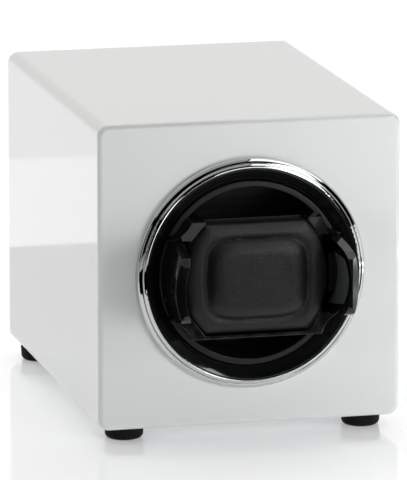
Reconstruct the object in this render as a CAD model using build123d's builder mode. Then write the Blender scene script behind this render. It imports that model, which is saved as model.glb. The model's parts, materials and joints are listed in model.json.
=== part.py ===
from build123d import *
import math
import os

# Watch winder box. Millimetres, +Z up, front face towards -Y.
# Origin: centre of the bounding box in plan, on the surface that the feet stand on.

# ---- driving dimensions ----
box_width = 125.0
box_height = 125.0
box_depth = 175.0
wall = 9.0
corner_radius = 4.5       # edges that run from front to back
edge_radius = 2.2         # edges round the front and the back
foot_height = 5.5
foot_radius = 7.8
grip_reach = 31.0          # how far the finger grips stand in front of the front face

front_y = (grip_reach - box_depth) / 2
axis_z = foot_height + box_height / 2

# opening, trim and cup (radii about the rotor axis)
trim_outer_radius = 47.4
trim_inner_radius = 43.5
trim_spigot_radius = 44.0
trim_proud = 4.6
trim_fit = 0.05
bezel_throat_radius = 38.2
barrel_radius = 38.8
barrel_wall = 2.0
cup_outer_radius = 37.9
cup_inner_radius = 35.2
cup_floor = 32.0           # depth of the cup floor behind the front face

# drive
shaft_radius = 3.0
running_clearance = 0.04
gear_module = 0.8
drive_teeth = 56
idler_pinion_teeth = 16
idler_wheel_teeth = 42
motor_teeth = 14
idler_angle = -90.0        # direction of the idler from the rotor axis, degrees
motor_angle = 0.0          # direction of the motor from the idler axis, degrees
gear_plate_depth = 62.0
gear_plate_thickness = 3.0

# watch holder
holder_half_height = 24.0
holder_half_width = 35.0
wing_height = 16.4         # height of the wing corners above the axis
grip_pin_x = 28.5
grip_pin_depth = 15.0
grip_pin_radius = 1.25
cushion_half_width = 29.6
cushion_half_height = 22.4
cushion_edge_half_width = 21.0

# back
panel_depth = 162.0
panel_thickness = 3.0
board_depth = 148.4
board_thickness = 1.6
controls_drop = -22.0      # height of the control row relative to the rotor axis
program_x = -18.0
direction_x = 6.0
jack_x = 25.0

rotor_axis = Axis((0, 0, axis_z), (0, 1, 0))

idler_distance = gear_module * (drive_teeth + idler_pinion_teeth) / 2
idler_x = idler_distance * math.cos(math.radians(idler_angle))
idler_z = idler_distance * math.sin(math.radians(idler_angle))
motor_distance = gear_module * (idler_wheel_teeth + motor_teeth) / 2
motor_x = idler_x + motor_distance * math.cos(math.radians(motor_angle))
motor_z = idler_z + motor_distance * math.sin(math.radians(motor_angle))

os.makedirs("parts", exist_ok=True)


def face(depth, x=0.0, z=0.0):
    """Plane parallel to the front face. Sketch x is X, sketch y is Z, and it faces the front.
    Depth is measured backwards from the front face, and x, z from the rotor axis."""
    return Plane(origin=(x, front_y + depth, axis_z + z), x_dir=(1, 0, 0), z_dir=(0, -1, 0))


def section(x=0.0, z=0.0):
    """Plane through the rotor axis or one parallel to it. Sketch x is the radius, sketch y the depth."""
    return Plane(origin=(x, front_y, axis_z + z))


def depth_axis(x=0.0, z=0.0):
    """Axis parallel to the rotor axis."""
    return Axis((x, 0, axis_z + z), (0, 1, 0))


def write(built, name):
    built.part.label = name
    export_step(built.part, f"parts/{name}.step")


def turned(points, x=0.0, z=0.0):
    """Solid of revolution about a depth axis from (radius, depth) points. Called outside the blocks."""
    with BuildPart() as body:
        with BuildSketch(section(x, z)):
            Polygon(*points, align=None)
        revolve(axis=depth_axis(x, z))
    return body


def screw(head_depth, shank_end, head_radius, shank_radius, head_height, x, z, facing_front=True):
    """Pan-head screw along the depth direction with a cross recess. head_depth is its seat."""
    way = -1 if facing_front else 1
    with BuildPart() as body:
        with BuildSketch(section(x, z)):
            with BuildLine():
                Polyline(
                    (0, shank_end),
                    (shank_radius, shank_end),
                    (shank_radius, head_depth),
                    (head_radius, head_depth),
                    (head_radius, head_depth + way * head_height * 0.4),
                )
                ThreePointArc(
                    (head_radius, head_depth + way * head_height * 0.4),
                    (head_radius * 0.66, head_depth + way * head_height * 0.86),
                    (0, head_depth + way * head_height),
                )
                Line((0, head_depth + way * head_height), (0, shank_end))
            make_face()
        revolve(axis=depth_axis(x, z))
        with BuildSketch(face(head_depth + way * head_height * 0.45, x, z)):
            Rectangle(head_radius * 1.1, head_radius * 0.24)
            Rectangle(head_radius * 0.24, head_radius * 1.1)
        extrude(amount=-way * head_height, mode=Mode.SUBTRACT)
    return body


def group(bodies):
    """Several separate solids as one part."""
    with BuildPart() as built:
        for body in bodies:
            add(body.part)
    return built


def gear_outline(teeth, phase):
    """Involute gear outline as a sketch. phase is the direction of one tooth, degrees."""
    pressure = math.radians(20)
    backlash = 0.14
    pitch_radius = gear_module * teeth / 2
    base_radius = pitch_radius * math.cos(pressure)
    tip_radius = pitch_radius + 0.9 * gear_module
    root_radius = pitch_radius - 1.25 * gear_module
    half_tooth = math.pi / (2 * teeth) - backlash / (2 * pitch_radius)
    involute_at_pitch = math.tan(pressure) - pressure

    def flank(radius):
        """Half-angle of the tooth at a radius."""
        if radius <= base_radius:
            return half_tooth + involute_at_pitch
        angle = math.acos(base_radius / radius)
        return half_tooth + involute_at_pitch - (math.tan(angle) - angle)

    def at(radius, angle):
        return (radius * math.cos(angle), radius * math.sin(angle))

    flank_start = max(base_radius, root_radius)
    radii = [flank_start + (tip_radius - flank_start) * (step / 4) ** 1.5 for step in range(5)]
    with BuildSketch() as outline:
        with BuildLine():
            for tooth in range(teeth):
                middle = math.radians(phase) + 2 * math.pi * tooth / teeth
                following = middle + 2 * math.pi / teeth
                rising = [at(r, middle - flank(r)) for r in radii]
                falling = [at(r, middle + flank(r)) for r in reversed(radii)]
                root_half = flank(root_radius)
                if root_radius < base_radius:
                    Line(at(root_radius, middle - root_half), rising[0])
                    Line(falling[-1], at(root_radius, middle + root_half))
                Spline(*rising)
                ThreePointArc(rising[-1], at(tip_radius, middle), falling[0])
                Spline(*falling)
                ThreePointArc(
                    at(root_radius, middle + root_half),
                    at(root_radius, (middle + following) / 2),
                    at(root_radius, following - root_half),
                )
        make_face()
    return outline.sketch


# ---- housing: lacquered box ----
with BuildPart() as housing_shell:
    with Locations((0, front_y + box_depth / 2, axis_z)):
        Box(box_width, box_depth, box_height)
    fillet(housing_shell.edges().filter_by(Axis.Y), radius=corner_radius)
    fillet(housing_shell.faces().sort_by(Axis.Y)[0].edges(), radius=edge_radius)
    fillet(housing_shell.faces().sort_by(Axis.Y)[-1].edges(), radius=edge_radius)
    with BuildSketch(face(wall)):
        Rectangle(box_width - 2 * wall, box_height - 2 * wall)
    extrude(amount=-box_depth, mode=Mode.SUBTRACT)
    with BuildSketch(face(0)):
        Circle(trim_spigot_radius + trim_fit)
    extrude(amount=-wall, mode=Mode.SUBTRACT)
write(housing_shell, "housing_shell")

# ---- plated trim ring: two convex bands with a fine groove between them ----
groove_radius = 45.4
groove_half_width = 0.15
groove_bottom = -3.0
outer_band_crest = (46.85, -2.3)
outer_band_edge = -3.3
inner_band_edge = -3.4
inner_band_crest = (44.6, -4.3)
lip_radius = 43.9
lip_crest = (43.62, -4.5)
lip_depth = -4.2
trim_wall = 0.7
trim_spigot_end = wall - 0.4
with BuildPart() as chrome_trim_ring:
    with BuildSketch(section()):
        with BuildLine():
            Line((trim_spigot_radius, 0), (trim_outer_radius, 0))
            Line((trim_outer_radius, 0), (trim_outer_radius, -trim_wall))
            ThreePointArc(
                (trim_outer_radius, -trim_wall),
                outer_band_crest,
                (groove_radius + groove_half_width, outer_band_edge),
            )
            Polyline(
                (groove_radius + groove_half_width, outer_band_edge),
                (groove_radius, groove_bottom),
                (groove_radius - groove_half_width, inner_band_edge),
            )
            ThreePointArc(
                (groove_radius - groove_half_width, inner_band_edge),
                inner_band_crest,
                (lip_radius, -trim_proud),
            )
            ThreePointArc((lip_radius, -trim_proud), lip_crest, (trim_inner_radius, lip_depth))
            Polyline(
                (trim_inner_radius, lip_depth),
                (trim_inner_radius, trim_spigot_end),
                (trim_spigot_radius, trim_spigot_end),
                (trim_spigot_radius, 0),
            )
        make_face()
    revolve(axis=rotor_axis)
write(chrome_trim_ring, "chrome_trim_ring")

# ---- fixed bezel and barrel ----
barrel_back = 44.0
barrel_back_thickness = 3.0
bezel_rim_radius = 43.3
bezel_lip_radius = 42.9
bezel_lip_depth = -4.3
bezel_cone_middle = (40.4, -2.6)
throat_front = -0.3
throat_back = 3.0
barrel_front = 4.0
barrel_flange_back = wall + 2.5
barrel_flange_radius = 52.0
barrel_screw_circle = 48.2
bush_radius = 5.0
boss_radius = 9.0
barrel_end = barrel_back + barrel_back_thickness
boss_end = 50.0
post_angles = (60, 140, 210, 0)
post_circle = 36.0
post_radius = 4.0
post_pilot_radius = 1.2
post_pilot_depth = 10.0
idler_pin_radius = 1.5
idler_pin_front = barrel_back + 1.0
barrel_screw_radius = 1.7
post_places = [
    (post_circle * math.cos(math.radians(a)), post_circle * math.sin(math.radians(a))) for a in post_angles
]
with BuildPart() as bezel_barrel:
    with BuildSketch(section()):
        with BuildLine():
            Line((bezel_rim_radius, bezel_lip_depth), (bezel_lip_radius, bezel_lip_depth))
            ThreePointArc(
                (bezel_lip_radius, bezel_lip_depth),
                bezel_cone_middle,
                (bezel_throat_radius, throat_front),
            )
            Polyline(
                (bezel_throat_radius, throat_front),
                (bezel_throat_radius, throat_back),
                (barrel_radius, barrel_front),
                (barrel_radius, barrel_back),
                (bush_radius, barrel_back),
                (bush_radius, boss_end),
                (boss_radius, boss_end),
                (boss_radius, barrel_end),
                (barrel_radius + barrel_wall, barrel_end),
                (barrel_radius + barrel_wall, barrel_flange_back),
                (barrel_flange_radius, barrel_flange_back),
                (barrel_flange_radius, wall),
                (bezel_rim_radius, wall),
                (bezel_rim_radius, bezel_lip_depth),
            )
        make_face()
    revolve(axis=rotor_axis)
    with BuildSketch(face(barrel_end)):
        with Locations(*post_places):
            Circle(post_radius)
    extrude(amount=-(gear_plate_depth - barrel_end))
    with BuildSketch(face(gear_plate_depth)):
        with Locations(*post_places):
            Circle(post_pilot_radius)
    extrude(amount=post_pilot_depth, mode=Mode.SUBTRACT)
    with BuildSketch(face(barrel_flange_back)):
        with PolarLocations(barrel_screw_circle, 4, start_angle=45):
            Circle(barrel_screw_radius)
    extrude(amount=barrel_flange_back - wall, mode=Mode.SUBTRACT)
    with BuildSketch(face(barrel_end)):
        with Locations((idler_x, idler_z)):
            Circle(idler_pin_radius)
    extrude(amount=barrel_end - idler_pin_front, mode=Mode.SUBTRACT)
write(bezel_barrel, "bezel_barrel")

barrel_screws = group([
    screw(
        barrel_flange_back,
        wall + 0.01,
        3.2,
        barrel_screw_radius,
        2.2,
        barrel_screw_circle * math.cos(math.radians(a)),
        barrel_screw_circle * math.sin(math.radians(a)),
        facing_front=False,
    )
    for a in (45, 135, 225, 315)
])
write(barrel_screws, "barrel_screws")

# ---- feet ----
foot_rounding = 2.2
foot_flare = 0.2
foot_hole_radius = 1.6
foot_recess_radius = 3.6
foot_recess_depth = 2.6
foot_screw_head_radius = 3.3
foot_screw_rim_radius = 2.6
foot_screw_top = 0.8
front_foot_x = 49.5
rear_foot_x = 53.0
front_foot_y = front_y + 12.0
rear_foot_y = front_y + box_depth - 18.0
foot_places = {
    "foot_front_left": (-front_foot_x, front_foot_y),
    "foot_front_right": (front_foot_x, front_foot_y),
    "foot_rear_left": (-rear_foot_x, rear_foot_y),
    "foot_rear_right": (rear_foot_x, rear_foot_y),
}
foot_screw_parts = []
for foot_name, (foot_px, foot_py) in foot_places.items():
    foot_axis = Axis((foot_px, foot_py, 0), (0, 0, 1))
    with BuildPart() as foot:
        with BuildSketch(Plane(origin=(foot_px, foot_py, 0), x_dir=(1, 0, 0), z_dir=(0, -1, 0))):
            with BuildLine():
                Polyline(
                    (foot_hole_radius, foot_height),
                    (foot_radius + foot_flare, foot_height),
                    (foot_radius, foot_rounding),
                )
                RadiusArc((foot_radius, foot_rounding), (foot_radius - foot_rounding, 0), foot_rounding)
                Polyline(
                    (foot_radius - foot_rounding, 0),
                    (foot_recess_radius, 0),
                    (foot_recess_radius, foot_recess_depth),
                    (foot_hole_radius, foot_recess_depth),
                    (foot_hole_radius, foot_height),
                )
            make_face()
        revolve(axis=foot_axis)
    write(foot, foot_name)
    with BuildPart() as foot_screw:
        with BuildSketch(Plane(origin=(foot_px, foot_py, 0), x_dir=(1, 0, 0), z_dir=(0, -1, 0))):
            Polygon(
                (0, foot_screw_top),
                (foot_screw_rim_radius, foot_screw_top),
                (foot_screw_head_radius, foot_recess_depth),
                (foot_hole_radius, foot_recess_depth),
                (foot_hole_radius, foot_height),
                (0, foot_height),
                align=None,
            )
        revolve(axis=foot_axis)
    foot_screw_parts.append(foot_screw)
foot_screws = group(foot_screw_parts)
write(foot_screws, "foot_screws")

# ---- shaft bushes ----
bore_radius = shaft_radius + running_clearance
bush_flange_radius = 7.0
front_bush_start = 42.2
front_bush_end = 50.4
rear_bush_start = 60.6
rear_bush_end = 66.4
front_bush = turned([
    (bore_radius, front_bush_start),
    (bush_flange_radius, front_bush_start),
    (bush_flange_radius, barrel_back),
    (bush_radius, barrel_back),
    (bush_radius, front_bush_end),
    (bore_radius, front_bush_end),
])
write(front_bush, "front_bush")
rear_bush = turned([
    (bore_radius, rear_bush_start),
    (bush_flange_radius, rear_bush_start),
    (bush_flange_radius, gear_plate_depth),
    (bush_radius, gear_plate_depth),
    (bush_radius, rear_bush_end),
    (bore_radius, rear_bush_end),
])
write(rear_bush, "rear_bush")

# ---- gear plate behind the gears ----
gear_plate_back = gear_plate_depth + gear_plate_thickness
motor_screw_offset = 10.0
motor_screw_radius = 1.5
gear_plate_radius = 41.0
motor_pad_radius = 17.0
gear_plate_hole_radius = 1.6
motor_spigot_radius = 5.0
with BuildPart() as gear_plate:
    with BuildSketch(face(gear_plate_depth)):
        Circle(gear_plate_radius)
        with Locations((motor_x, motor_z)):
            Circle(motor_pad_radius)
        Circle(bush_radius, mode=Mode.SUBTRACT)
        with Locations(*post_places):
            Circle(gear_plate_hole_radius, mode=Mode.SUBTRACT)
        with Locations((idler_x, idler_z)):
            Circle(idler_pin_radius, mode=Mode.SUBTRACT)
        with Locations((motor_x, motor_z)):
            Circle(motor_spigot_radius, mode=Mode.SUBTRACT)
        with Locations((motor_x, motor_z + motor_screw_offset), (motor_x, motor_z - motor_screw_offset)):
            Circle(motor_screw_radius, mode=Mode.SUBTRACT)
    extrude(amount=-gear_plate_thickness)
write(gear_plate, "gear_plate")

gear_plate_screws = group([
    screw(gear_plate_back, gear_plate_depth - 8.0, 2.6, 1.2, 1.9, px, pz, facing_front=False)
    for px, pz in post_places
])
write(gear_plate_screws, "gear_plate_screws")

with BuildPart() as idler_pin:
    with BuildSketch(face(idler_pin_front, idler_x, idler_z)):
        Circle(idler_pin_radius)
    extrude(amount=-(gear_plate_back - idler_pin_front))
    chamfer(idler_pin.edges(), length=0.2)
write(idler_pin, "idler_pin")

# ---- geared motor ----
motor_shaft_radius = 1.5
motor_bore_radius = motor_shaft_radius + running_clearance
motor_spigot_front = 63.0
gear_head_radius = 14.0
gear_head_back = 77.0
motor_bore_end = 72.5
motor_can_radius = 12.2
motor_can_back = 105.0
motor_can_flats = 19.0
motor_cap_back = 107.0
motor_gear_head = turned([
    (motor_bore_radius, motor_spigot_front),
    (motor_spigot_radius, motor_spigot_front),
    (motor_spigot_radius, gear_plate_back),
    (gear_head_radius, gear_plate_back),
    (gear_head_radius, gear_head_back),
    (0, gear_head_back),
    (0, motor_bore_end),
    (motor_bore_radius, motor_bore_end),
], motor_x, motor_z)
with BuildPart() as motor_gear_head_drilled:
    add(motor_gear_head.part)
    with BuildSketch(face(gear_plate_back)):
        with Locations((motor_x, motor_z + motor_screw_offset), (motor_x, motor_z - motor_screw_offset)):
            Circle(motor_screw_radius)
    extrude(amount=-5.0, mode=Mode.SUBTRACT)
write(motor_gear_head_drilled, "motor_gear_head")

motor_screws = group([
    screw(
        gear_plate_depth,
        gear_plate_back + 4.5,
        2.6,
        motor_screw_radius,
        1.6,
        motor_x,
        motor_z + side * motor_screw_offset,
    )
    for side in (-1, 1)
])
write(motor_screws, "motor_screws")

with BuildPart() as motor_can:
    with BuildSketch(face(gear_head_back, motor_x, motor_z)):
        Circle(motor_can_radius)
    extrude(amount=-(motor_can_back - gear_head_back))
    with BuildSketch(face(motor_can_back, motor_x, motor_z)):
        Rectangle(2 * motor_can_radius + 1.0, motor_can_flats)
    extrude(amount=motor_can_back - gear_head_back, mode=Mode.INTERSECT)
    fillet(motor_can.faces().sort_by(Axis.Y)[-1].edges(), radius=0.8)
write(motor_can, "motor_can")

with BuildPart() as motor_end_cap:
    with BuildSketch(face(motor_can_back, motor_x, motor_z)):
        Circle(9.0)
    extrude(amount=-(motor_cap_back - motor_can_back))
    with BuildSketch(face(motor_cap_back, motor_x, motor_z)):
        Circle(3.0)
    extrude(amount=-2.0)
    fillet(motor_end_cap.edges().sort_by(Axis.Y)[-1], radius=0.6)
write(motor_end_cap, "motor_end_cap")

terminal_offset = 6.0
with BuildPart() as motor_terminals:
    with BuildSketch(face(motor_cap_back, motor_x, motor_z)):
        with Locations((-terminal_offset, 0), (terminal_offset, 0)):
            Rectangle(0.6, 3.0)
    extrude(amount=-5.0)
write(motor_terminals, "motor_terminals")

# ---- back panel, its corner blocks and screws ----
block_size = 12.0
inner_half = box_width / 2 - wall
block_centre = inner_half - block_size / 2
panel_screw_offset = 47.5
panel_screw_radius = 1.4
block_depth = 15.0
panel_gap = 0.2
knob_hole_radius = 4.6
socket_hole_radius = 4.3
vent_height = 27.0
vent_pitch = 5.0
vent_length = 36.0
vent_width = 2.2
standoff_radius = 3.0
board_screw_radius = 1.1
with BuildPart() as corner_blocks:
    with BuildSketch(face(panel_depth - block_depth)):
        with GridLocations(2 * block_centre, 2 * block_centre, 2, 2):
            Rectangle(block_size, block_size)
        with GridLocations(2 * panel_screw_offset, 2 * panel_screw_offset, 2, 2):
            Circle(panel_screw_radius, mode=Mode.SUBTRACT)
    extrude(amount=-block_depth)
write(corner_blocks, "corner_blocks")

panel_back = panel_depth + panel_thickness
board_screw_x = 26.0
board_screw_z = 12.0
board_corners = [
    (sx * board_screw_x, controls_drop + sz * board_screw_z) for sx in (-1, 1) for sz in (-1, 1)
]
with BuildPart() as back_panel:
    with BuildSketch(face(panel_depth)):
        RectangleRounded(2 * (inner_half - panel_gap), 2 * (inner_half - panel_gap), 1.0)
        with GridLocations(2 * panel_screw_offset, 2 * panel_screw_offset, 2, 2):
            Circle(1.7, mode=Mode.SUBTRACT)
        with Locations((program_x, controls_drop), (direction_x, controls_drop)):
            Circle(knob_hole_radius, mode=Mode.SUBTRACT)
        with Locations((jack_x, controls_drop)):
            Circle(socket_hole_radius, mode=Mode.SUBTRACT)
        with Locations((0, vent_height)):
            with GridLocations(0, vent_pitch, 1, 5):
                SlotOverall(vent_length, vent_width, mode=Mode.SUBTRACT)
    extrude(amount=-panel_thickness)
    with BuildSketch(face(panel_depth)):
        with Locations(*board_corners):
            Circle(standoff_radius)
            Circle(board_screw_radius, mode=Mode.SUBTRACT)
    extrude(amount=panel_depth - board_depth - board_thickness)
write(back_panel, "back_panel")

back_panel_screws = group([
    screw(
        panel_back,
        panel_depth - 10.0,
        3.0,
        panel_screw_radius,
        2.0,
        sx * panel_screw_offset,
        sz * panel_screw_offset,
        facing_front=False,
    )
    for sx in (-1, 1)
    for sz in (-1, 1)
])
write(back_panel_screws, "back_panel_screws")

# ---- control board and what it carries ----
with BuildPart() as control_board:
    with BuildSketch(face(board_depth, 0, controls_drop)):
        RectangleRounded(64.0, 32.0, 1.5)
        with GridLocations(2 * board_screw_x, 2 * board_screw_z, 2, 2):
            Circle(1.3, mode=Mode.SUBTRACT)
    extrude(amount=-board_thickness)
write(control_board, "control_board")

board_screws = group([
    screw(board_depth, board_depth + board_thickness + 5.0, 2.3, board_screw_radius, 1.5, px, pz)
    for px, pz in board_corners
])
write(board_screws, "board_screws")

wire_x = 2.0
wire_z = controls_drop - 8.0
wire_gap = 2.5
socket_depth = board_depth - 6.0
with BuildPart() as board_components:
    with BuildSketch(face(board_depth, -10.0, controls_drop)):
        Rectangle(10.0, 6.0)
    extrude(amount=1.6)
    with BuildSketch(face(board_depth, 16.0, controls_drop)):
        with GridLocations(8.0, 0, 2, 1):
            Circle(2.5)
    extrude(amount=7.0)
    with BuildSketch(face(board_depth, wire_x, wire_z)):
        Rectangle(8.0, 5.0)
    extrude(amount=6.0)
write(board_components, "board_components")

board_back = board_depth + board_thickness
knob_shaft_radius = 3.0
switch_size = 13.0
switch_back = board_back + 8.0
switch_neck_radius = 4.5
knob_seat = panel_back + 0.5
for switch_name, switch_x in (("program_switch", program_x), ("direction_switch", direction_x)):
    with BuildPart() as switch_body:
        with BuildSketch(face(board_back, switch_x, controls_drop)):
            RectangleRounded(switch_size, switch_size, 1.0)
        extrude(amount=-(switch_back - board_back))
        with BuildSketch(face(switch_back, switch_x, controls_drop)):
            Circle(switch_neck_radius)
        extrude(amount=-(panel_back - 0.5 - switch_back))
        with BuildSketch(face(board_back + 2.0, switch_x, controls_drop)):
            Circle(knob_shaft_radius + running_clearance)
        extrude(amount=-(panel_back - board_back), mode=Mode.SUBTRACT)
    write(switch_body, switch_name)

jack_bore_radius = 2.8
jack_neck_radius = 4.2
jack_shoulder = panel_depth - 0.2
jack_bore_bottom = panel_depth - 7.0
with BuildPart() as dc_jack:
    with BuildSketch(face(board_back, jack_x, controls_drop)):
        RectangleRounded(9.0, 11.0, 0.6)
    extrude(amount=-(jack_shoulder - board_back))
    with BuildSketch(face(jack_shoulder, jack_x, controls_drop)):
        Circle(jack_neck_radius)
    extrude(amount=-(panel_thickness + 0.6))
    with BuildSketch(face(jack_bore_bottom, jack_x, controls_drop)):
        Circle(jack_bore_radius)
    extrude(amount=-11.0, mode=Mode.SUBTRACT)
write(dc_jack, "dc_jack")

with BuildPart() as dc_jack_pin:
    with BuildSketch(face(jack_bore_bottom, jack_x, controls_drop)):
        Circle(1.0)
    extrude(amount=-9.0)
    fillet(dc_jack_pin.edges().sort_by(Axis.Y)[-1], radius=0.6)
write(dc_jack_pin, "dc_jack_pin")

# ---- two wires from the motor to the socket on the board ----
wire_radius = 0.7
wire_start = motor_cap_back + 3.0
wire_straight_end = wire_start + 12.0
wire_bend_end = 131.0
wire_parts = []
for side in (-1, 1):
    wire_start_x = motor_x + side * (terminal_offset + 0.3 + wire_radius)
    wire_end_x = wire_x + side * wire_gap
    with BuildPart() as wire:
        with BuildLine() as wire_path:
            FilletPolyline(
                (wire_start_x, front_y + wire_start, axis_z + motor_z),
                (wire_start_x, front_y + wire_straight_end, axis_z + motor_z),
                (wire_end_x, front_y + wire_bend_end, axis_z + wire_z),
                (wire_end_x, front_y + socket_depth, axis_z + wire_z),
                radius=4.0,
            )
        with BuildSketch(face(wire_start, wire_start_x, motor_z)):
            Circle(wire_radius)
        sweep(path=wire_path.line)
    wire_parts.append(wire)
motor_wires = group(wire_parts)
write(motor_wires, "motor_wires")

# ---- rotor: cup, shaft, gear and its small parts ----
cup_back = 35.0
hub_radius = 9.0
hub_end = 41.0
shaft_front = 34.2
rim_outer_start = -0.6
rim_outer_crest = (37.7, -1.0)
rim_outer_edge = (37.3, -1.1)
rim_inner_edge = (35.7, -1.3)
rim_inner_crest = (35.35, -1.15)
rim_inner_end = -0.8
rib_height = 13.8
rib_length = 5.8
rib_x = 31.4
rib_front = 8.0
peg_front = 19.4
peg_radius = 3.5
screw_recess_radius = 5.5
rib_half_width = 1.0
with BuildPart() as rotor_cup:
    with BuildSketch(section()):
        with BuildLine():
            Polyline((cup_outer_radius, cup_back), (cup_outer_radius, rim_outer_start))
            ThreePointArc((cup_outer_radius, rim_outer_start), rim_outer_crest, rim_outer_edge)
            Line(rim_outer_edge, rim_inner_edge)
            ThreePointArc(rim_inner_edge, rim_inner_crest, (cup_inner_radius, rim_inner_end))
            Polyline(
                (cup_inner_radius, rim_inner_end),
                (cup_inner_radius, cup_floor),
                (screw_recess_radius, cup_floor),
                (screw_recess_radius, cup_floor + 1.0),
                (1.6, cup_floor + 1.0),
                (1.6, shaft_front),
                (shaft_radius, shaft_front),
                (shaft_radius, hub_end),
                (hub_radius, hub_end),
                (hub_radius, cup_back),
                (cup_outer_radius, cup_back),
            )
        make_face()
    revolve(axis=rotor_axis)
    with BuildSketch(face(rib_front)):
        with GridLocations(2 * rib_x, 2 * rib_height, 2, 2):
            Rectangle(rib_length, 2 * rib_half_width)
    extrude(amount=-(cup_floor - rib_front))
    with BuildSketch(face(peg_front)):
        with GridLocations(38.0, 36.0, 2, 2):
            Circle(peg_radius)
    extrude(amount=-(cup_floor - peg_front))
write(rotor_cup, "rotor_cup")

shaft_end = 69.4
shaft_screw_radius = 1.3
clip_groove_radius = 2.3
clip_groove_front = 67.0
clip_groove_back = 67.9
with BuildPart() as rotor_shaft:
    with BuildSketch(section()):
        Polygon(
            (0, shaft_front),
            (shaft_radius, shaft_front),
            (shaft_radius, clip_groove_front),
            (clip_groove_radius, clip_groove_front),
            (clip_groove_radius, clip_groove_back),
            (shaft_radius, clip_groove_back),
            (shaft_radius, shaft_end - 0.4),
            (shaft_radius - 0.4, shaft_end),
            (0, shaft_end),
            align=None,
        )
    revolve(axis=rotor_axis)
    with BuildSketch(face(shaft_front)):
        Circle(shaft_screw_radius)
    extrude(amount=-6.0, mode=Mode.SUBTRACT)
write(rotor_shaft, "rotor_shaft")

shaft_screw = screw(cup_floor + 1.0, 39.5, 4.4, shaft_screw_radius, 2.6, 0, 0)
write(shaft_screw, "shaft_screw")

washer_back = 41.8
thrust_washer = turned([
    (shaft_radius, hub_end),
    (bush_flange_radius, hub_end),
    (bush_flange_radius, washer_back),
    (shaft_radius, washer_back),
])
write(thrust_washer, "thrust_washer")

clip_radius = 5.5
clip_front = clip_groove_front + 0.05
clip_back = clip_groove_back - 0.05
shaft_clip = turned([
    (clip_groove_radius, clip_front),
    (clip_radius, clip_front),
    (clip_radius, clip_back),
    (clip_groove_radius, clip_back),
])
with BuildPart() as shaft_clip_open:
    add(shaft_clip.part)
    with BuildSketch(face(clip_groove_front)):
        with Locations((0, -4.0)):
            Rectangle(3.2, 5.0)
    extrude(amount=-1.0, mode=Mode.SUBTRACT)
write(shaft_clip_open, "shaft_clip")

drive_outline = gear_outline(drive_teeth, idler_angle)
drive_gear_front = 51.0
drive_gear_back = 56.0
drive_hub_length = 4.3
drive_web_front = 52.5
web_inner_radius = 9.5
web_outer_radius = 19.5
web_hole_circle = 14.5
web_hole_radius = 3.2
with BuildPart() as drive_gear:
    with BuildSketch(face(drive_gear_front)):
        add(drive_outline)
    extrude(amount=-(drive_gear_back - drive_gear_front))
    with BuildSketch(face(drive_gear_back)):
        Circle(bush_flange_radius)
    extrude(amount=-drive_hub_length)
    with BuildSketch(face(drive_web_front)):
        Circle(web_outer_radius)
        Circle(web_inner_radius, mode=Mode.SUBTRACT)
    extrude(amount=drive_web_front - drive_gear_front, mode=Mode.SUBTRACT)
    with BuildSketch(face(drive_gear_front)):
        Circle(shaft_radius)
        with PolarLocations(web_hole_circle, 6):
            Circle(web_hole_radius)
    extrude(amount=-(drive_gear_back - drive_gear_front + drive_hub_length), mode=Mode.SUBTRACT)
write(drive_gear, "drive_gear")

# ---- idler: wheel and pinion in one moulding ----
# The pinion has a gap towards the drive gear's tooth, and the wheel a tooth towards the motor.
idler_pinion_outline = gear_outline(idler_pinion_teeth, idler_angle + 180 + 180 / idler_pinion_teeth)
idler_wheel_outline = gear_outline(idler_wheel_teeth, motor_angle)
idler_hub_radius = 4.0
idler_front = 47.5
idler_pinion_front = 50.6
idler_wheel_front = 57.5
idler_wheel_back = 60.5
idler_back = 61.5
with BuildPart() as idler_gear:
    with BuildSketch(face(idler_front, idler_x, idler_z)):
        Circle(idler_hub_radius)
    extrude(amount=-(idler_pinion_front - idler_front + 0.2))
    with BuildSketch(face(idler_pinion_front, idler_x, idler_z)):
        add(idler_pinion_outline)
    extrude(amount=-(idler_wheel_front - idler_pinion_front))
    with BuildSketch(face(idler_wheel_front, idler_x, idler_z)):
        add(idler_wheel_outline)
    extrude(amount=-(idler_wheel_back - idler_wheel_front))
    with BuildSketch(face(idler_wheel_back, idler_x, idler_z)):
        Circle(idler_hub_radius)
    extrude(amount=-(idler_back - idler_wheel_back))
    with BuildSketch(face(idler_front, idler_x, idler_z)):
        Circle(idler_pin_radius + running_clearance)
    extrude(amount=-(idler_back - idler_front), mode=Mode.SUBTRACT)
write(idler_gear, "idler_gear")

# ---- motor output ----
# The pinion has a gap towards the wheel's tooth.
motor_outline = gear_outline(motor_teeth, motor_angle + 180 + 180 / motor_teeth)
motor_shaft_front = 56.4
motor_shaft_back = 72.0
motor_pinion_front = 57.0
motor_pinion_back = 61.0
motor_collar_radius = 3.5
motor_collar_back = 62.6
with BuildPart() as motor_shaft:
    with BuildSketch(face(motor_shaft_front, motor_x, motor_z)):
        Circle(motor_shaft_radius)
    extrude(amount=-(motor_shaft_back - motor_shaft_front))
    chamfer(motor_shaft.edges().sort_by(Axis.Y)[0], length=0.2)
write(motor_shaft, "motor_shaft")

with BuildPart() as motor_pinion:
    with BuildSketch(face(motor_pinion_front, motor_x, motor_z)):
        add(motor_outline)
    extrude(amount=-(motor_pinion_back - motor_pinion_front))
    with BuildSketch(face(motor_pinion_back, motor_x, motor_z)):
        Circle(motor_collar_radius)
    extrude(amount=-(motor_collar_back - motor_pinion_back))
    with BuildSketch(face(motor_pinion_front, motor_x, motor_z)):
        Circle(motor_shaft_radius)
    extrude(amount=-(motor_collar_back - motor_pinion_front), mode=Mode.SUBTRACT)
write(motor_pinion, "motor_pinion")

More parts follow.
